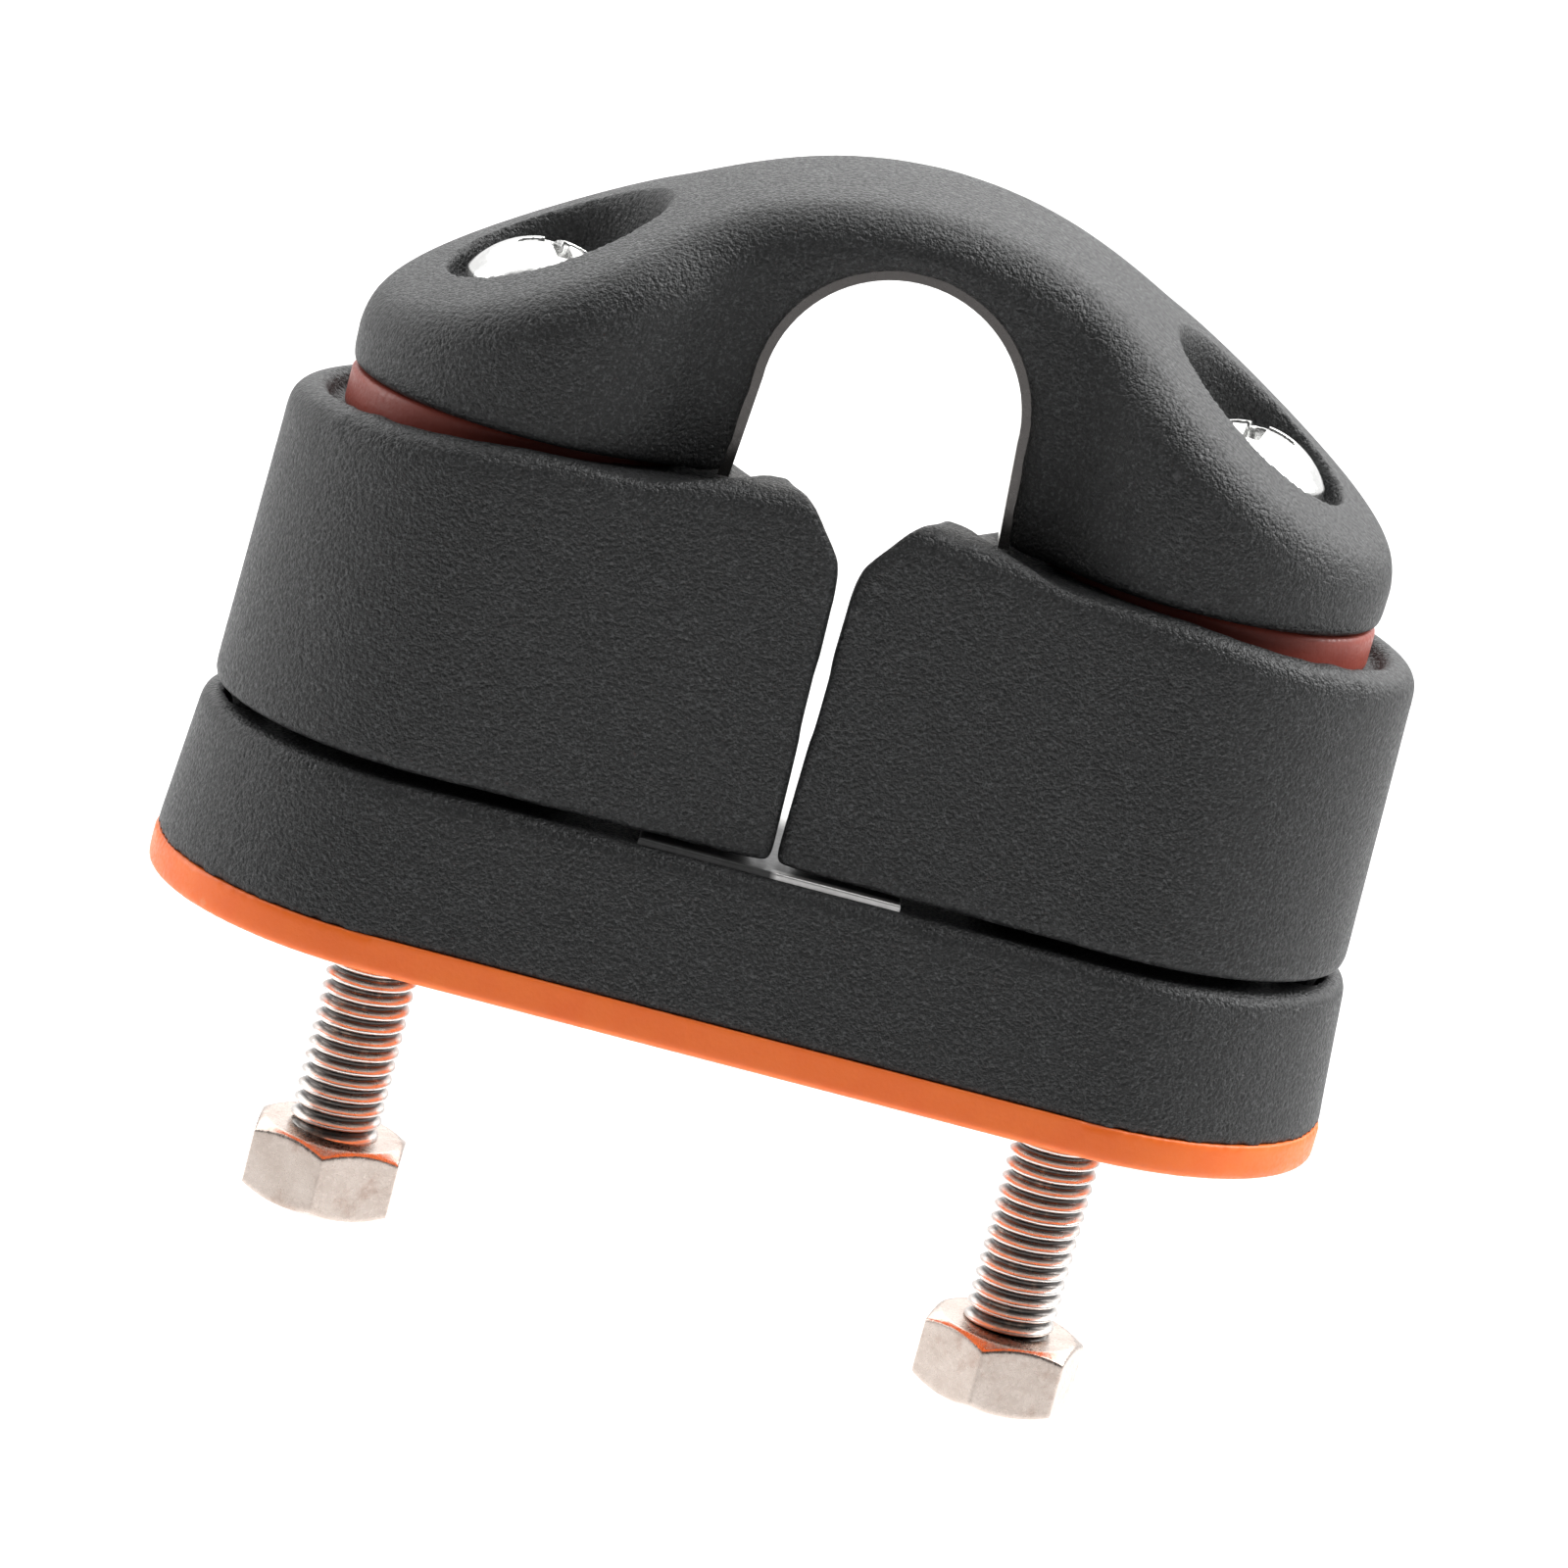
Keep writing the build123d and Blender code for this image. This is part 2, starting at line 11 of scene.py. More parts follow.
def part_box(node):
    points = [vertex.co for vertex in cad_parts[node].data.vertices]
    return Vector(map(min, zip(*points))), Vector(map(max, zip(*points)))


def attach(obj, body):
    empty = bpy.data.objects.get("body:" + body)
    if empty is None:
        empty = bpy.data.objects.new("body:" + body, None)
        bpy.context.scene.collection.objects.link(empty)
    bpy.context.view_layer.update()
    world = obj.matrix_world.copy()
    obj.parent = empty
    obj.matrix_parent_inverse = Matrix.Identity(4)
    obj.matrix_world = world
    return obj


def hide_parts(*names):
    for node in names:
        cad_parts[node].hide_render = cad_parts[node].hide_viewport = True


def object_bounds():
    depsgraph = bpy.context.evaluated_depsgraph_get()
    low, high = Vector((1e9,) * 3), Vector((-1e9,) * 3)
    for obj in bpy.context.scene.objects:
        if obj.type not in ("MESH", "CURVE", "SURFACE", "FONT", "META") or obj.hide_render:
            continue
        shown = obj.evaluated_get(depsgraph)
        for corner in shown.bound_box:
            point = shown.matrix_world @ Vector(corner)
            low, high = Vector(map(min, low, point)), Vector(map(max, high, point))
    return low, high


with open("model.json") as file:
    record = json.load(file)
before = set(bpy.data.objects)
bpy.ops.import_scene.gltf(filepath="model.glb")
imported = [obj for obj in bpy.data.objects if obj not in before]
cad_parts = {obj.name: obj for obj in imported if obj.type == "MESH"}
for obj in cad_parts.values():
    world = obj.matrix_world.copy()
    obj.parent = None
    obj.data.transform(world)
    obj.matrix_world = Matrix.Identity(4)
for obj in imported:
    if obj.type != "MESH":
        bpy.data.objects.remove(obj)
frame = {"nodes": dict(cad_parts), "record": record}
cad_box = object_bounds()

MM = 0.001

# Camera: a long lens a little above the deck, rolled so that the cleat leans to the right
CAMERA_ELEVATION = math.radians(15.2)
CAMERA_AZIMUTH = math.radians(-1.2)
CAMERA_ROLL = math.radians(14.9)
CAMERA_DISTANCE = 370 * MM
FOCAL_IN_IMAGES = 4.395
AIM_RIGHT = 2.85 * MM
AIM_UP = 11.6 * MM
SENSOR = 36.0

# Floor, in metres, and its grey
FLOOR_DROP = 0.14
FLOOR_HALF = 4.0
FLOOR_WHITE = 0.87

# World light, in front of the cleat and behind it, and where it turns from one to the other
WORLD_FRONT = 0.08
WORLD_BACK = 1.05
WORLD_TURN = (-0.8, 0.9)

# Fasteners, in millimetres, with the thread's flank in shares of its pitch
PIVOT_X = 19.0
THREAD_PITCH = 0.8
THREAD_CREST_R = 2.47
THREAD_ROOT_R = 2.05
THREAD_TOP_Z = 31.0
THREAD_FLANK = (0.12, 0.44)
THREAD_STEPS = 8
THREAD_SPOKES = 56
END_CHAMFER = 0.5
HEAD_CUT_Z = 30.0

# Centre of the eye, in millimetres
EYE_Z = 34.25

# Where the mouldings are softened, in millimetres, each as where it starts and where it is full
RIM_Z = (25.0, 27.0)
RIM_R = (10.2, 10.6)
LEAD_IN_Z = (24.5, 25.5)
LEAD_IN_FRONT = (7.6, 8.6)
ABOVE_FOOT_Z = (30.5, 32.0)
OFF_BORE_R = (5.3, 6.4)
OFF_EYE_R = (8.6, 9.6)
MOUTH_FRONT = (5.7, 6.0)

# Meshes: welding distance and voxels in millimetres, then rounds, least weight and strength of
# softening
WELD = 0.0005
CAM_VOXEL = 0.2
FAIRLEAD_VOXEL = 0.2
HEAD_VOXEL = 0.09
ALL_OVER_ROUNDS = 2
RIM_ROUNDS = 8
LEAD_IN_ROUNDS = 50
FAIRLEAD_ROUNDS = 60
MOUTH_ROUNDS = 12
HEAD_ROUNDS = 3
LEAST_WEIGHT = 0.01
SOFTENING = 0.5

# The range that a noise pattern mostly fills
NOISE_LOW = 0.3
NOISE_HIGH = 0.7

# Where each mask starts and is full: values of noise, of pointiness and of the thread's depth
GLINT_SPECKLED = (0.52, 0.7)
WORN_POINTINESS = (0.53, 0.62)
WORN_PATCHES = (0.42, 0.68)
STAINED = (0.55, 0.75)
THREAD_STAINED = (0.56, 0.72)
THREAD_SHADED = (0.1, 0.65)
LINER_SPOTTED = (0.56, 0.7)

# Material detail: scales in features per millimetre, depths in millimetres, and changes of
# roughness either way
MOTTLE_SCALE = 0.35
GLINT_SPECKLE_SCALE = 5.5
PATCH_SCALE = 0.8
GRAIN_SCALE = 4.6
GRAIN_DEPTH = 0.16
GRAIN_POLISH = 0.16
WAVE_SCALE = 0.25
WAVE_STRENGTH = 0.15
WAVE_DEPTH = 0.15
STEEL_MOTTLE_SCALE = 0.6
STEEL_SMOOTHER = 0.06
STEEL_ROUGHER = 0.1
STAIN_SCALE = 0.45
SPOT_SCALE = 0.7
SCRATCH_SCALE = 4.0
SCRATCH_DEPTH = 0.03
BRUSHED = (1, 0.15, 1)

# Where the sheet steel keeps its steel colour, and where it gets painted shade on the plate and a
# painted dark reflection on the liner's edges, in millimetres
UNSHADED_RIGHT_X = (0.0, 0.4)
UNSHADED_FRONT_Y = (-10.9, -11.3)
UNSHADED_BACK_Y = (-2.5, 1.0)
LINER_DARK_REFLECTION_Y = (5.5, 5.65)

# Colours of the thread and the sheet steel, with painted shade and dirt in the thread's grooves,
# painted shade on the plate and a painted dark reflection on the liner's edges
THREAD_GROOVE_SHADE = (0.1, 0.09, 0.085)
THREAD_CREST = (0.72, 0.69, 0.66)
THREAD_STAIN = (0.42, 0.32, 0.26)
PLATE_STEEL_COLOUR = (0.66, 0.65, 0.64)
PLATE_PAINTED_SHADE = (0.02, 0.045)
LINER_BRIGHT = (0.7, 0.68, 0.64)
LINER_SPOT = (0.28, 0.16, 0.09)
LINER_PAINTED_DARK_REFLECTION = (0.16, 0.15, 0.145)


def material(name):
    """A new node material, with its node tree, its links and its shader."""
    made = bpy.data.materials.new(name)
    made.use_nodes = True
    tree = made.node_tree
    return made, tree.nodes, tree.links, tree.nodes["Principled BSDF"]


def noise(nodes, links, scale, detail=2.0, rough=0.5, stretch=None):
    """A noise pattern in object space, in features per millimetre."""
    place = nodes.new("ShaderNodeTexCoord").outputs["Object"]
    if stretch:
        mapping = nodes.new("ShaderNodeMapping")
        mapping.inputs["Scale"].default_value = stretch
        links.new(place, mapping.inputs["Vector"])
        place = mapping.outputs["Vector"]
    made = nodes.new("ShaderNodeTexNoise")
    made.inputs["Scale"].default_value = scale / MM
    made.inputs["Detail"].default_value = detail
    made.inputs["Roughness"].default_value = rough
    links.new(place, made.inputs["Vector"])
    return made.outputs["Fac"]


def ramp(nodes, links, source, stops):
    """A colour ramp fed by a value. Its two stops are (position, grey or colour)."""
    made = nodes.new("ShaderNodeValToRGB")
    for element, (position, tone) in zip(made.color_ramp.elements, stops):
        element.position = position
        element.color = (*tone, 1) if isinstance(tone, tuple) else (tone, tone, tone, 1)
    links.new(source, made.inputs["Fac"])
    return made.outputs["Color"]


def spread(nodes, links, pattern, low, high):
    """A noise pattern spread from one grey or colour to another over the range it mostly fills."""
    return ramp(nodes, links, pattern, [(NOISE_LOW, low), (NOISE_HIGH, high)])


def mask_of(nodes, links, source, ends, full=1.0):
    """A mask that rises from 0 at one value of its source to full at another."""
    return ramp(nodes, links, source, [(ends[0], 0.0), (ends[1], full)])


def bump(nodes, links, source, strength, depth, below=None):
    """A bumped normal, in millimetres of depth, laid over another one if it is given."""
    made = nodes.new("ShaderNodeBump")
    made.inputs["Strength"].default_value = strength
    made.inputs["Distance"].default_value = depth * MM
    links.new(source, made.inputs["Height"])
    if below:
        links.new(below, made.inputs["Normal"])
    return made.outputs["Normal"]


def blended(nodes, links, mask, under, over):
    """One colour laid over another where a mask is bright."""
    mix = nodes.new("ShaderNodeMix")
    mix.data_type = "RGBA"
    links.new(mask, mix.inputs["Factor"])
    links.new(under, mix.inputs["A"])
    mix.inputs["B"].default_value = (*over, 1)
    return mix.outputs["Result"]


def computed(nodes, links, operation, *values):
    """The result of one maths operation. Its values are sockets or plain numbers."""
    made = nodes.new("ShaderNodeMath")
    made.operation = operation
    for value, socket in zip(values, made.inputs):
        if isinstance(value, float):
            socket.default_value = value
        else:
            links.new(value, socket)
    return made.outputs["Value"]


def along_axes(nodes, links):
    """A point's place along each axis of the object."""
    parts = nodes.new("ShaderNodeSeparateXYZ")
    links.new(nodes.new("ShaderNodeTexCoord").outputs["Object"], parts.inputs["Vector"])
    return parts.outputs


def share_of(nodes, links, value, ends):
    """A value's share of the way between two ends, in millimetres, kept between 0 and 1."""
    made = nodes.new("ShaderNodeMapRange")
    made.inputs["From Min"].default_value = ends[0] * MM
    made.inputs["From Max"].default_value = ends[1] * MM
    links.new(value, made.inputs["Value"])
    return made.outputs["Result"]


def worn_edges(nodes, links):
    """A mask that is bright where the surface turns sharply outward, broken up by noise."""
    pointiness = nodes.new("ShaderNodeNewGeometry").outputs["Pointiness"]
    edge = mask_of(nodes, links, pointiness, WORN_POINTINESS)
    patches = noise(nodes, links, PATCH_SCALE, detail=3)
    broken = mask_of(nodes, links, patches, WORN_PATCHES)
    return computed(nodes, links, "MULTIPLY", edge, broken)


def polished(nodes, links, shader, low, high, scratch, stretch=None):
    """Give a metal an uneven polish between two roughnesses, and fine scratches."""
    fine = noise(nodes, links, SCRATCH_SCALE, detail=3, rough=0.6, stretch=stretch)
    links.new(spread(nodes, links, fine, low, high), shader.inputs["Roughness"])
    links.new(bump(nodes, links, fine, scratch, SCRATCH_DEPTH), shader.inputs["Normal"])


def grained_plastic(name, low, high, roughness, grain, glint_speckle=None, worn=None):
    """Moulded plastic: a mottled colour, painted glints as light speckles where wanted, a fine
    pebbled grain, worn edges and uneven roughness.
    """
    made, nodes, links, shader = material(name)
    mottle = noise(nodes, links, MOTTLE_SCALE, detail=4)
    colour = spread(nodes, links, mottle, low, high)
    # painted glints: light speckles in the colour stand in for light caught by the grain
    if glint_speckle:
        dots = noise(nodes, links, GLINT_SPECKLE_SCALE, detail=1, rough=0.7)
        mask = mask_of(nodes, links, dots, GLINT_SPECKLED)
        colour = blended(nodes, links, mask, colour, glint_speckle)
    if worn:
        colour = blended(nodes, links, worn_edges(nodes, links), colour, worn)
    links.new(colour, shader.inputs["Base Color"])
    pebble = noise(nodes, links, GRAIN_SCALE, rough=0.6)
    wave = noise(nodes, links, WAVE_SCALE)
    fine = bump(nodes, links, pebble, grain, GRAIN_DEPTH)
    coarse = bump(nodes, links, wave, WAVE_STRENGTH, WAVE_DEPTH, fine)
    links.new(coarse, shader.inputs["Normal"])
    polish = spread(nodes, links, pebble, roughness - GRAIN_POLISH, roughness + GRAIN_POLISH)
    links.new(polish, shader.inputs["Roughness"])
    return made


def metal(name, low, high, roughness, scratch=0.1, stain=None):
    """Stainless steel: slight mottling, fine scratches, stains and uneven polish."""
    made, nodes, links, shader = material(name)
    shader.inputs["Metallic"].default_value = 1.0
    mottle = noise(nodes, links, STEEL_MOTTLE_SCALE, detail=5, rough=0.6)
    colour = spread(nodes, links, mottle, low, high)
    if stain:
        patches = noise(nodes, links, STAIN_SCALE, detail=4, rough=0.7)
        mask = mask_of(nodes, links, patches, STAINED, full=0.8)
        colour = blended(nodes, links, mask, colour, stain)
    links.new(colour, shader.inputs["Base Color"])
    polished(
        nodes, links, shader, roughness - STEEL_SMOOTHER, roughness + STEEL_ROUGHER, scratch
    )
    return made


def threaded_steel(name):
    """A screw thread's steel: dark in its grooves as painted shade and dirt, bright on its crests,
    and stained.
    """
    made, nodes, links, shader = material(name)
    shader.inputs["Metallic"].default_value = 1.0
    place = along_axes(nodes, links)
    across = computed(nodes, links, "ABSOLUTE", place["X"])
    flat = nodes.new("ShaderNodeCombineXYZ")
    links.new(computed(nodes, links, "SUBTRACT", across, PIVOT_X * MM), flat.inputs["X"])
    links.new(place["Y"], flat.inputs["Y"])
    reach = nodes.new("ShaderNodeVectorMath")
    reach.operation = "LENGTH"
    links.new(flat.outputs["Vector"], reach.inputs[0])
    depth = share_of(nodes, links, reach.outputs["Value"], (THREAD_ROOT_R, THREAD_CREST_R))
    # painted shade and dirt: the thread is coloured darker towards its root
    tint = ramp(nodes, links, depth, zip(THREAD_SHADED, (THREAD_GROOVE_SHADE, THREAD_CREST)))
    patches = noise(nodes, links, SPOT_SCALE, detail=4, rough=0.7)
    stains = mask_of(nodes, links, patches, THREAD_STAINED, full=0.7)
    colour = blended(nodes, links, stains, tint, THREAD_STAIN)
    links.new(colour, shader.inputs["Base Color"])
    polished(nodes, links, shader, low=0.24, high=0.4, scratch=0.12)
    return made


def shade_painted_plate(name):
    """The wear plate's steel: plain steel at the back and the right front corner, and painted
    shade between, dark and not metallic where the cams shade it.
    """
    made, nodes, links, shader = material(name)
    place = along_axes(nodes, links)
    # painted shade: the plate is coloured dark and not metallic, as if shaded by the cams, except
    # at the back and the right front corner
    right = share_of(nodes, links, place["X"], UNSHADED_RIGHT_X)
    front = share_of(nodes, links, place["Y"], UNSHADED_FRONT_Y)
    corner = computed(nodes, links, "MULTIPLY", right, front)
    back = share_of(nodes, links, place["Y"], UNSHADED_BACK_Y)
    unshaded = computed(nodes, links, "MAXIMUM", corner, back)
    links.new(unshaded, shader.inputs["Metallic"])
    patches = noise(nodes, links, PATCH_SCALE, detail=4, rough=0.7)
    colour = blended(nodes, links, unshaded, spread(nodes, links, patches, *PLATE_PAINTED_SHADE), PLATE_STEEL_COLOUR)
    links.new(colour, shader.inputs["Base Color"])
    polished(nodes, links, shader, low=0.35, high=0.5, scratch=0.15)
    return made


def edged_liner(name):
    """The liner's steel: bright and spotted inside the eye, and darkened on its front and back
    edges as a painted dark reflection.
    """
    made, nodes, links, shader = material(name)
    shader.inputs["Metallic"].default_value = 1.0
    depth = computed(nodes, links, "ABSOLUTE", along_axes(nodes, links)["Y"])
    edge = share_of(nodes, links, depth, LINER_DARK_REFLECTION_Y)
    patches = noise(nodes, links, SPOT_SCALE, detail=4, rough=0.7)
    tint = ramp(nodes, links, patches, zip(LINER_SPOTTED, (LINER_BRIGHT, LINER_SPOT)))
    # painted reflection: the liner's edges are coloured dark to look like steel mirroring a dark
    # surround
    colour = blended(nodes, links, edge, tint, LINER_PAINTED_DARK_REFLECTION)
    links.new(colour, shader.inputs["Base Color"])
    polished(nodes, links, shader, low=0.22, high=0.38, scratch=0.12, stretch=BRUSHED)
    return made


materials = {
    "nylon_black": grained_plastic(
        "nylon_black",
        low=(0.006, 0.0064, 0.0066),
        high=(0.009, 0.0094, 0.0097),
        roughness=0.48,
        grain=1.0,
        glint_speckle=(0.042, 0.044, 0.045),
        worn=(0.05, 0.05, 0.052),
    ),
    "pad_orange": grained_plastic(
        "pad_orange",
        low=(0.92, 0.15, 0.014),
        high=(0.97, 0.19, 0.02),
        roughness=0.45,
        grain=0.1,
        worn=(0.9, 0.3, 0.12),
    ),
    "cap_red": grained_plastic(
        "cap_red",
        low=(0.3, 0.052, 0.034),
        high=(0.36, 0.07, 0.046),
        roughness=0.45,
        grain=0.1,
        worn=(0.42, 0.14, 0.1),
    ),
    "acetal_white": grained_plastic(
        "acetal_white",
        low=(0.74, 0.72, 0.66),
        high=(0.8, 0.78, 0.74),
        roughness=0.35,
        grain=0.06,
    ),
    "fastener_steel": metal(
        "fastener_steel",
        low=(0.5, 0.42, 0.37),
        high=(0.6, 0.52, 0.47),
        roughness=0.26,
        scratch=0.25,
        stain=(0.38, 0.27, 0.22),
    ),
    "ball_steel": metal(
        "ball_steel", low=(0.62, 0.62, 0.62), high=(0.7, 0.7, 0.7), roughness=0.12, scratch=0.05
    ),
    "spring_steel": metal(
        "spring_steel", low=(0.45, 0.44, 0.43), high=(0.55, 0.54, 0.53), roughness=0.3
    ),
}
sheet_steel = {
    "wear_plate": shade_painted_plate("plate_steel"),
    "fairlead_liner": edged_liner("liner_steel"),
}
thread_steel = threaded_steel("thread_steel")
head_steel = metal("head_steel", low=(0.72, 0.72, 0.71), high=(0.8, 0.8, 0.79), roughness=0.2)

slot_of = {part["node"]: part["material_slot"] for part in frame["record"]["subparts"]}
for name, node in frame["nodes"].items():
    node.data.materials.clear()
    node.data.materials.append(sheet_steel.get(name) or materials[slot_of[name]])


def smoothstep(ends, value):
    """0 before one end, 1 past the other and a soft rise between, for a number or an array."""
    low, high = ends
    share = np.clip((value - low) / (high - low), 0.0, 1.0)
    return share * share * (3 - 2 * share)


def add_piece(name, mesh, body, node, finish=None):
    """Link a finished mesh as a piece that rides on a body and stands for a CAD node."""
    piece = bpy.data.objects.new(name, mesh)
    bpy.context.scene.collection.objects.link(piece)
    mesh.materials.clear()
    mesh.materials.append(finish or materials[slot_of[node]])
    mesh.polygons.foreach_set("use_smooth", [True] * len(mesh.polygons))
    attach(piece, body)
    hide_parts(node)


def welded(node):
    """A copy of a CAD node's mesh with its split corners joined, as a bmesh."""
    made = bmesh.new()
    made.from_mesh(frame["nodes"][node].data)
    bmesh.ops.remove_doubles(made, verts=made.verts, dist=WELD * MM)
    return made


def with_modifiers(made, add_modifiers):
    """The mesh that a bmesh becomes once modifiers have been added and applied."""
    mesh = bpy.data.meshes.new("work")
    made.to_mesh(mesh)
    made.free()
    work = bpy.data.objects.new("work", mesh)
    bpy.context.scene.collection.objects.link(work)
    add_modifiers(work)
    result = bpy.data.meshes.new_from_object(
        work.evaluated_get(bpy.context.evaluated_depsgraph_get())
    )
    bpy.data.objects.remove(work)
    bpy.data.meshes.remove(mesh)
    return result


def remeshed(made, voxel):
    """A bmesh rebuilt as even quads of one size, in millimetres."""

    def add_modifiers(work):
        remesh = work.modifiers.new("remesh", "REMESH")
        remesh.mode = "VOXEL"
        remesh.voxel_size = voxel * MM
        remesh.use_smooth_shade = True

    return with_modifiers(made, add_modifiers)


def softened(mesh, weights, rounds):
    """Even out a mesh where its weights are above 0, in a number of rounds."""
    made = bmesh.new()
    made.from_mesh(mesh)

    def add_modifiers(work):
        group = work.vertex_groups.new(name="soft")
        for index, weight in enumerate(weights):
            if weight > LEAST_WEIGHT:
                group.add([index], float(weight), "REPLACE")
        smooth = work.modifiers.new("smooth", "SMOOTH")
        smooth.factor = SOFTENING
        smooth.iterations = rounds
        smooth.vertex_group = "soft"

    return with_modifiers(made, add_modifiers)


def points_of(mesh):
    """A mesh's points as an array, in millimetres."""
    points = np.empty(len(mesh.vertices) * 3)
    mesh.vertices.foreach_get("co", points)
    return points.reshape(-1, 3) / MM


def evened(node, voxel, rounds):
    """A CAD node's mesh rebuilt as even quads, with its edges lightly broken all over."""
    mesh = remeshed(welded(node), voxel)
    return softened(mesh, np.ones(len(mesh.vertices)), rounds)


def add_cam(name, side):
    """One cam, with its top edges and its lead-in rounded over."""
    mesh = evened(name, CAM_VOXEL, ALL_OVER_ROUNDS)
    points = points_of(mesh)
    reach = np.hypot(points[:, 0] - side * PIVOT_X, points[:, 1])
    mesh = softened(mesh, smoothstep(RIM_Z, points[:, 2]) * smoothstep(RIM_R, reach), RIM_ROUNDS)
    points = points_of(mesh)
    lead_in = smoothstep(LEAD_IN_Z, points[:, 2]) * smoothstep(LEAD_IN_FRONT, -points[:, 1])
    mesh = softened(mesh, lead_in, LEAD_IN_ROUNDS)
    add_piece(f"{name}_moulded", mesh, name, name)


def add_fairlead():
    """The fairlead, with its edges flowing into one another and crisp counterbores."""
    mesh = evened("fairlead", FAIRLEAD_VOXEL, ALL_OVER_ROUNDS)
    points = points_of(mesh)
    across, along, height = np.abs(points[:, 0]), points[:, 1], points[:, 2]
    above_foot = smoothstep(ABOVE_FOOT_Z, height)
    off_bore = smoothstep(OFF_BORE_R, np.hypot(across - PIVOT_X, along))
    off_eye = smoothstep(OFF_EYE_R, np.hypot(across, height - EYE_Z))
    mesh = softened(mesh, above_foot * off_bore * off_eye, FAIRLEAD_ROUNDS)
    points = points_of(mesh)
    near_eye = 1 - smoothstep(OFF_EYE_R, np.hypot(points[:, 0], points[:, 2] - EYE_Z))
    mouth = near_eye * smoothstep(MOUTH_FRONT, np.abs(points[:, 1]))
    mesh = softened(mesh, mouth, MOUTH_ROUNDS)
    add_piece("fairlead_moulded", mesh, "base", "fairlead")


def add_moulded(name, voxel, rounds):
    """A CAD node on the base, rebuilt as even quads with its edges lightly broken."""
    add_piece(f"{name}_finished", evened(name, voxel, rounds), "base", name)


def thread_radius(turn):
    """The thread's radius at a share of one turn: a flat crest, smooth flanks and a flat root."""
    rise = smoothstep(THREAD_FLANK, 0.5 - abs(turn % 1 - 0.5))
    return THREAD_ROOT_R + (THREAD_CREST_R - THREAD_ROOT_R) * rise


def add_thread(name, side):
    """The rolled thread of one screw, a right-handed helix with a chamfered end."""
    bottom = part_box(name)[0].z / MM
    rows = int((THREAD_TOP_Z - bottom) / THREAD_PITCH * THREAD_STEPS)
    heights = [bottom + (THREAD_TOP_Z - bottom) * row / rows for row in range(rows + 1)]
    made = bmesh.new()
    rings = []
    for height in heights:
        most = THREAD_CREST_R - max(0.0, END_CHAMFER - (height - bottom))
        ring = []
        for spoke in range(THREAD_SPOKES):
            share = spoke / THREAD_SPOKES
            radius = min(most, thread_radius(height / THREAD_PITCH - share))
            angle = 2 * math.pi * share
            x = side * PIVOT_X + radius * math.cos(angle)
            ring.append(made.verts.new((x * MM, radius * math.sin(angle) * MM, height * MM)))
        rings.append(ring)
    for lower, upper in zip(rings, rings[1:]):
        for spoke in range(THREAD_SPOKES):
            after = (spoke + 1) % THREAD_SPOKES
            made.faces.new((lower[spoke], lower[after], upper[after], upper[spoke]))
    made.faces.new(list(reversed(rings[0])))
    made.faces.new(rings[-1])
    mesh = bpy.data.meshes.new(f"{name}_thread")
    made.to_mesh(mesh)
    made.free()
    add_piece(f"{name}_thread", mesh, "base", name, thread_steel)


def add_head(name):
    """The domed head of one screw with its cross recess, rebuilt as even quads."""
    made = welded(name)
    bmesh.ops.bisect_plane(
        made,
        geom=made.verts[:] + made.edges[:] + made.faces[:],
        plane_co=(0, 0, HEAD_CUT_Z * MM),
        plane_no=(0, 0, 1),
        clear_inner=True,
    )
    bmesh.ops.holes_fill(made, edges=[edge for edge in made.edges if edge.is_boundary])
    mesh = remeshed(made, HEAD_VOXEL)
    mesh = softened(mesh, np.ones(len(mesh.vertices)), HEAD_ROUNDS)
    add_piece(f"{name}_head", mesh, "base", name, head_steel)


add_cam("left_cam", -1)
add_cam("right_cam", 1)
add_fairlead()
for side_name, side in (("left", -1), ("right", 1)):
    add_thread(f"{side_name}_screw", side)
    add_head(f"{side_name}_screw")
    add_moulded(f"{side_name}_nut", voxel=0.1, rounds=4)
    add_moulded(f"{side_name}_retainer_cap", voxel=0.16, rounds=2)
add_moulded("base", voxel=0.25, rounds=3)
add_moulded("mounting_pad", voxel=0.2, rounds=3)


def basis(azimuth, elevation):
    """Right, up and backward directions of a level camera."""
    back = Vector(
        (
            math.sin(azimuth) * math.cos(elevation),
            -math.cos(azimuth) * math.cos(elevation),
            math.sin(elevation),
        )
    )
    right = Vector((math.cos(azimuth), math.sin(azimuth), 0))
    return right, back.cross(right), back


def add_camera():
    """The camera, rolled about its own axis, with the cleat framed as wanted."""
    right, up, back = basis(CAMERA_AZIMUTH, CAMERA_ELEVATION)
    turned_right = right * math.cos(CAMERA_ROLL) + up * math.sin(CAMERA_ROLL)
    turned_up = up * math.cos(CAMERA_ROLL) - right * math.sin(CAMERA_ROLL)
    place = back * CAMERA_DISTANCE
    target = turned_right * AIM_RIGHT + turned_up * AIM_UP
    backward = (place - target).normalized()
    side = turned_up.cross(backward).normalized()
    data = bpy.data.cameras.new("camera")
    data.sensor_width = SENSOR
    data.lens = SENSOR * FOCAL_IN_IMAGES
    data.clip_start = 0.01
    data.clip_end = 20
    camera = bpy.data.objects.new("camera", data)
    bpy.context.scene.collection.objects.link(camera)
    turn = Matrix((side, backward.cross(side), backward)).transposed()
    camera.matrix_world = Matrix.Translation(place) @ turn.to_4x4()
    bpy.context.scene.camera = camera


def area_light(name, place, target, size, power):
    """A square soft box at a place, facing a target, in metres and watts."""
    data = bpy.data.lights.new(name, "AREA")
    data.shape = "SQUARE"
    data.size = size
    data.energy = power
    light = bpy.data.objects.new(name, data)
    bpy.context.scene.collection.objects.link(light)
    light.location = place
    light.rotation_euler = (Vector(place) - Vector(target)).to_track_quat("Z", "Y").to_euler()


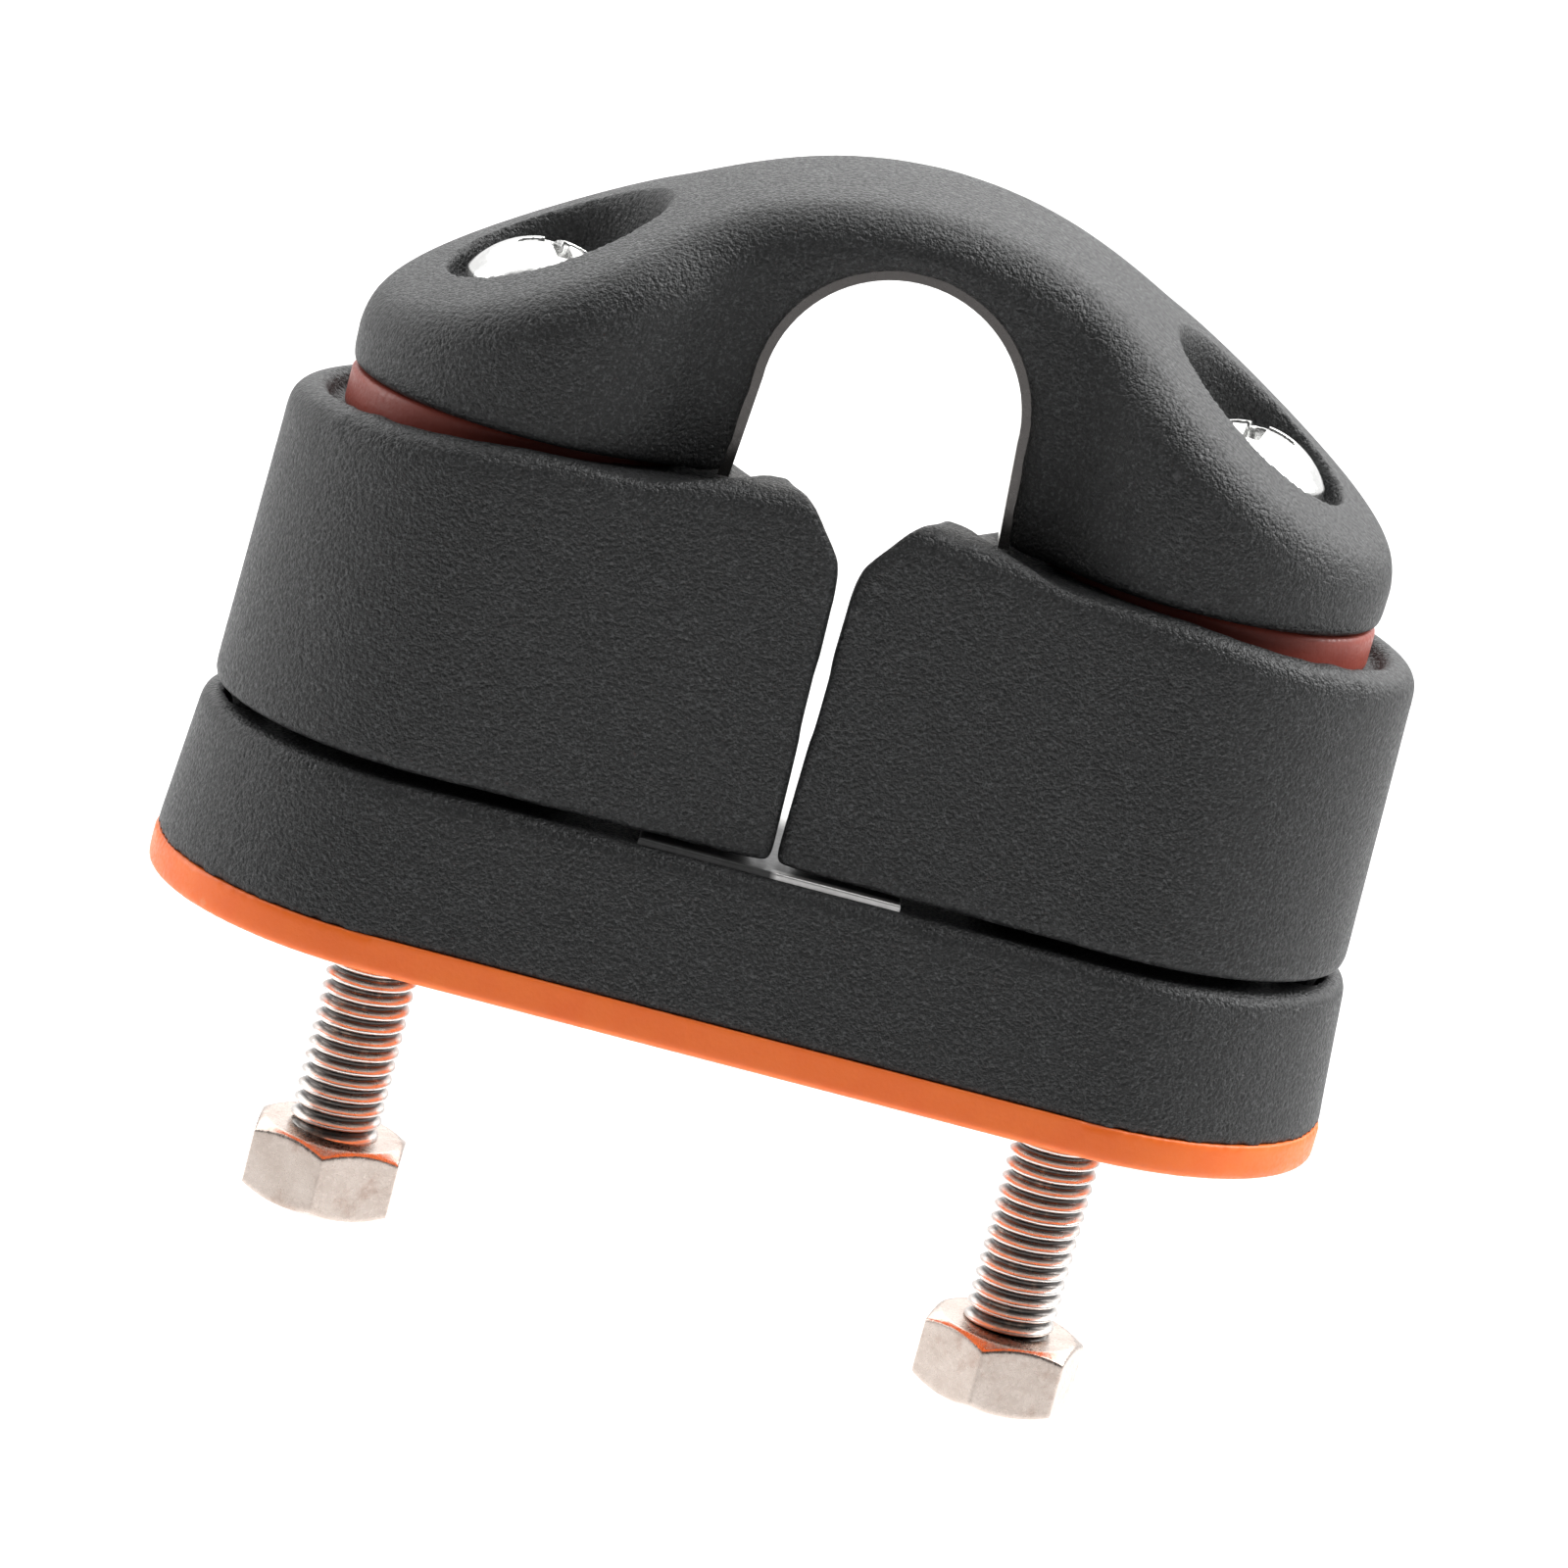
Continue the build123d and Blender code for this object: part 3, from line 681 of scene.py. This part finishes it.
def add_floor():
    """A wide pale floor below the hanging nuts."""
    mesh = bpy.data.meshes.new("floor")
    height = cad_box[0].z - FLOOR_DROP
    signs = [(-1, -1), (1, -1), (1, 1), (-1, 1)]
    corners = [(x * FLOOR_HALF, y * FLOOR_HALF, height) for x, y in signs]
    mesh.from_pydata(corners, [], [(0, 1, 2, 3)])
    floor = bpy.data.objects.new("floor", mesh)
    bpy.context.scene.collection.objects.link(floor)
    made, _, _, shader = material("floor")
    shader.inputs["Base Color"].default_value = (FLOOR_WHITE, FLOOR_WHITE, FLOOR_WHITE, 1)
    shader.inputs["Roughness"].default_value = 1.0
    mesh.materials.append(made)


def add_world():
    """A pale tent that is open, and so darker, on the side that the cleat is seen from."""
    world = bpy.data.worlds.new("world")
    world.use_nodes = True
    nodes, links = world.node_tree.nodes, world.node_tree.links
    parts = nodes.new("ShaderNodeSeparateXYZ")
    links.new(nodes.new("ShaderNodeTexCoord").outputs["Generated"], parts.inputs["Vector"])
    depth = nodes.new("ShaderNodeMapRange")
    depth.interpolation_type = "SMOOTHSTEP"
    depth.inputs["From Min"].default_value = WORLD_TURN[0]
    depth.inputs["From Max"].default_value = WORLD_TURN[1]
    depth.inputs["To Min"].default_value = WORLD_FRONT
    depth.inputs["To Max"].default_value = WORLD_BACK
    links.new(parts.outputs["Y"], depth.inputs["Value"])
    background = nodes["Background"]
    background.inputs["Color"].default_value = (1, 1, 1, 1)
    links.new(depth.outputs["Result"], background.inputs["Strength"])
    bpy.context.scene.world = world


def add_lights():
    """Soft boxes left, right and overhead, and a large one behind that also whitens the floor."""
    centre = (cad_box[0] + cad_box[1]) / 2
    area_light("left", (-0.45, 0.08, 0.12), centre, size=0.3, power=0.75)
    area_light("right", (0.42, 0.1, 0.3), centre, size=0.3, power=1.5)
    area_light("back", (0, 1.15, 0.85), (0, 1.15, 0), size=2.3, power=32)
    area_light("overhead", (0.3, 0, 0.7), centre, size=0.5, power=4.2)


add_floor()
add_camera()
add_world()
add_lights()
bpy.context.scene.view_settings.view_transform = "Standard"
